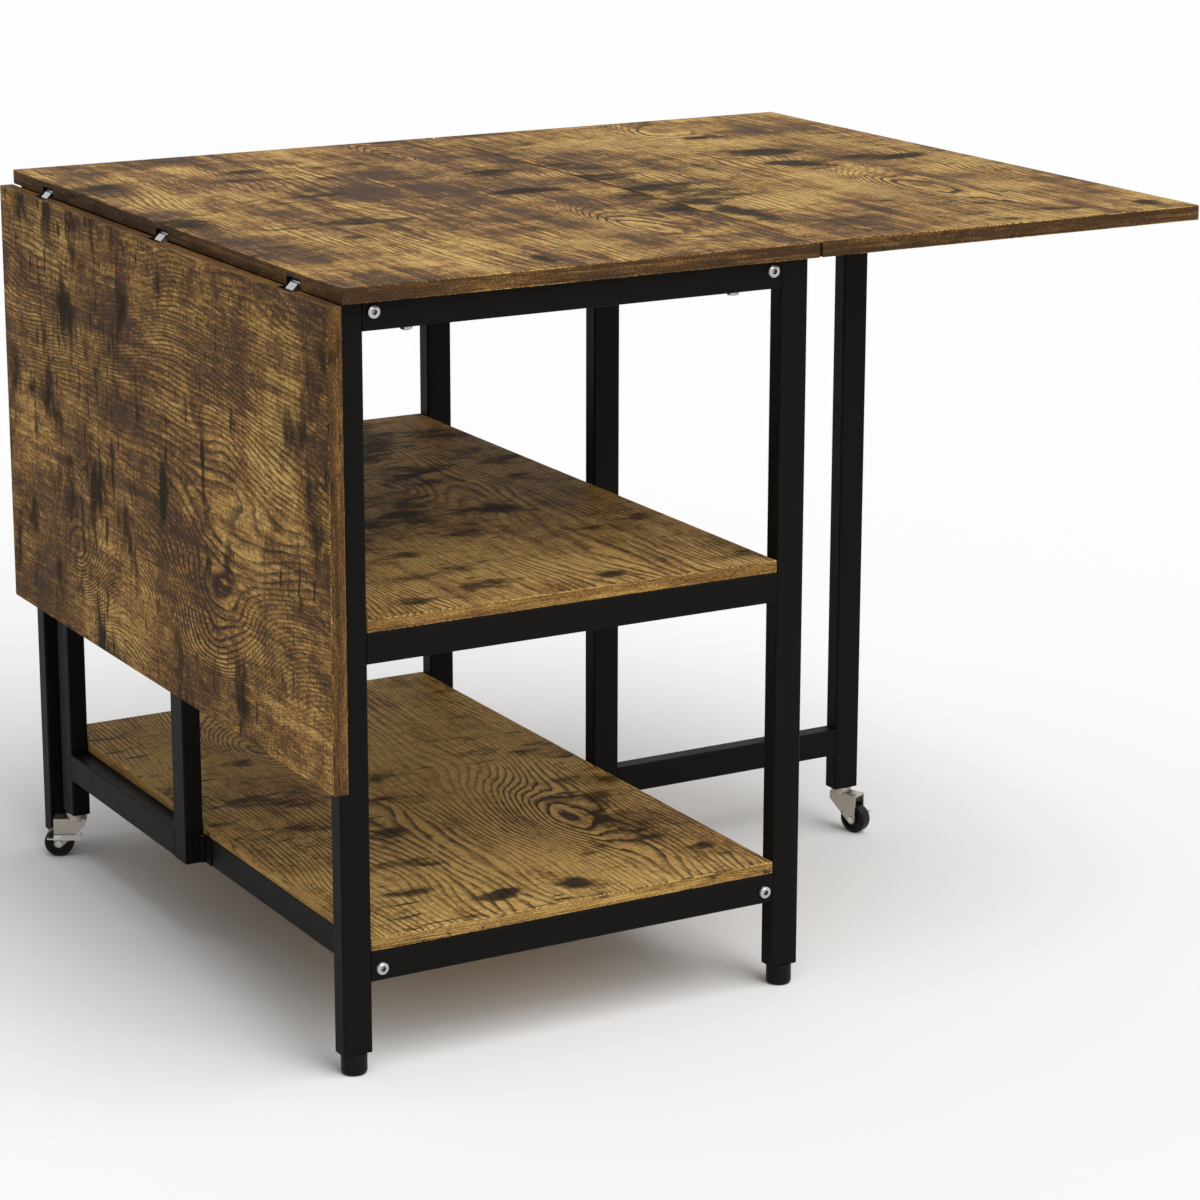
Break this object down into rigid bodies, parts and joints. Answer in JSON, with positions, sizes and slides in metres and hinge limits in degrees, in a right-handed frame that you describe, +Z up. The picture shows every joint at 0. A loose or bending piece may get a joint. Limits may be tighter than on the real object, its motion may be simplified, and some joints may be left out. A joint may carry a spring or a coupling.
{
  "type": "folding dining table",
  "caption": "Folding dining table with a tube frame, open shelves and drop leaves on linked hinges, each leaf carried by a swinging gate leg on a braked caster.",
  "frame": {"origin": "on the floor, under the middle of the table as it stands with the left leaf down and the right leaf up", "axes": "+X from the hanging left leaf to the raised right leaf, +Y from front to back, +Z up"},
  "size_m": [0.968, 0.8, 0.75],
  "materials": {
    "wood": "matt printed rustic oak",
    "black_paint": "fine black powder coat",
    "zinc": "bright nickel plate",
    "link_steel": "satin nickel",
    "pin_steel": "plain steel",
    "black_plastic": "satin",
    "wheel_plastic": "smooth satin",
    "fork_nickel": "satin nickel",
    "brake_steel": "bright zinc"
  },
  "bodies": {
    "frame": {"top_board": "wood", "middle_shelf": "wood", "bottom_shelf": "wood", "front_left_leg": "black_paint", "front_right_leg": "black_paint", "front_top_rail": "black_paint", "front_middle_rail": "black_paint", "front_bottom_rail": "black_paint", "rear_left_leg": "black_paint", "rear_right_leg": "black_paint", "rear_top_rail": "black_paint", "rear_middle_rail": "black_paint", "rear_bottom_rail": "black_paint", "left_top_rail": "black_paint", "left_bottom_rail": "black_paint", "right_top_rail": "black_paint", "right_bottom_rail": "black_paint", "frame_bolts": "zinc", "rail_end_plugs": "black_plastic", "top_board_screws": "zinc", "shelf_screws": "zinc", "foot_plugs": "black_plastic", "top_hinge_cups": "black_plastic", "gate_hinge_frame_plates": "black_paint", "front_left_foot": "black_plastic", "front_right_foot": "black_plastic", "rear_left_foot": "black_plastic", "rear_right_foot": "black_plastic"},
    "left_hinge_links": {"left_hinge_links": "link_steel", "left_hinge_pins": "pin_steel"},
    "left_leaf": {"left_leaf": "wood", "left_leaf_hinge_cups": "black_plastic"},
    "left_gate": {"left_gate_post": "black_paint", "left_gate_leg": "black_paint", "left_gate_top_rail": "black_paint", "left_gate_bottom_rail": "black_paint", "left_gate_hinge_plates": "black_paint", "left_gate_hinge_pins": "pin_steel", "left_caster_plug": "black_plastic", "left_caster_race": "fork_nickel"},
    "left_caster_fork": {"left_caster_fork": "fork_nickel", "left_caster_axle": "brake_steel"},
    "left_caster_wheel": {"left_caster_wheel": "wheel_plastic"},
    "left_caster_brake": {"left_caster_brake": "brake_steel"},
    "right_hinge_links": {"right_hinge_links": "link_steel", "right_hinge_pins": "pin_steel"},
    "right_leaf": {"right_leaf": "wood", "right_leaf_hinge_cups": "black_plastic"},
    "right_gate": {"right_gate_post": "black_paint", "right_gate_leg": "black_paint", "right_gate_top_rail": "black_paint", "right_gate_bottom_rail": "black_paint", "right_gate_hinge_plates": "black_paint", "right_gate_hinge_pins": "pin_steel", "right_caster_plug": "black_plastic", "right_caster_race": "fork_nickel"},
    "right_caster_fork": {"right_caster_fork": "fork_nickel", "right_caster_axle": "brake_steel"},
    "right_caster_wheel": {"right_caster_wheel": "wheel_plastic"},
    "right_caster_brake": {"right_caster_brake": "brake_steel"}
  },
  "joints": [
    {"name": "left_hinge_fold", "type": "hinge", "parent": "frame", "child": "left_hinge_links", "pos_m": [-0.4625, 0, 0.73875], "axis": [0, 1, 0], "range_deg": [0, 45]},
    {"name": "left_leaf_fold", "type": "hinge", "parent": "left_hinge_links", "child": "left_leaf", "pos_m": [-0.47275, 0, 0.7285], "axis": [0, 1, 0], "range_deg": [0, 45]},
    {"name": "right_hinge_fold", "type": "hinge", "parent": "frame", "child": "right_hinge_links", "pos_m": [0.0255, 0, 0.73875], "axis": [0, -1, 0], "range_deg": [0, 2.5]},
    {"name": "right_leaf_fold", "type": "hinge", "parent": "right_hinge_links", "child": "right_leaf", "pos_m": [0.04, 0, 0.73875], "axis": [0, -1, 0], "range_deg": [0, 5]},
    {"name": "left_gate_swing", "type": "hinge", "parent": "frame", "child": "left_gate", "pos_m": [-0.441, 0.0035, 0.412], "axis": [0, 0, 1], "range_deg": [0, 0.9]},
    {"name": "left_caster_swivel", "type": "hinge", "parent": "left_gate", "child": "left_caster_fork", "pos_m": [-0.449, 0.331, 0.046], "axis": [0, 0, 1], "range_deg": [0, 225]},
    {"name": "left_caster_roll", "type": "hinge", "parent": "left_caster_fork", "child": "left_caster_wheel", "pos_m": [-0.46666, 0.34039, 0.016], "axis": [-0.4695, -0.8829, 0], "continuous": true},
    {"name": "left_brake_lift", "type": "hinge", "parent": "left_caster_fork", "child": "left_caster_brake", "pos_m": [-0.45606, 0.33476, 0.023], "axis": [0.4695, 0.8829, 0], "range_deg": [0, 8]},
    {"name": "right_gate_swing", "type": "hinge", "parent": "frame", "child": "right_gate", "pos_m": [0.004, 0.0035, 0.412], "axis": [0, 0, 1], "range_deg": [0, 90]},
    {"name": "right_caster_swivel", "type": "hinge", "parent": "right_gate", "child": "right_caster_fork", "pos_m": [0.3315, -0.0045, 0.046], "axis": [0, 0, 1], "continuous": true},
    {"name": "right_caster_roll", "type": "hinge", "parent": "right_caster_fork", "child": "right_caster_wheel", "pos_m": [0.33899, -0.02304, 0.016], "axis": [0.9272, 0.3746, 0], "continuous": true},
    {"name": "right_brake_lift", "type": "hinge", "parent": "right_caster_fork", "child": "right_caster_brake", "pos_m": [0.3345, -0.01192, 0.023], "axis": [-0.9272, -0.3746, 0], "range_deg": [0, 8]}
  ],
  "couplings": [
    {"joint": "left_leaf_fold", "follows": "left_hinge_fold", "ratio": 1}
  ]
}
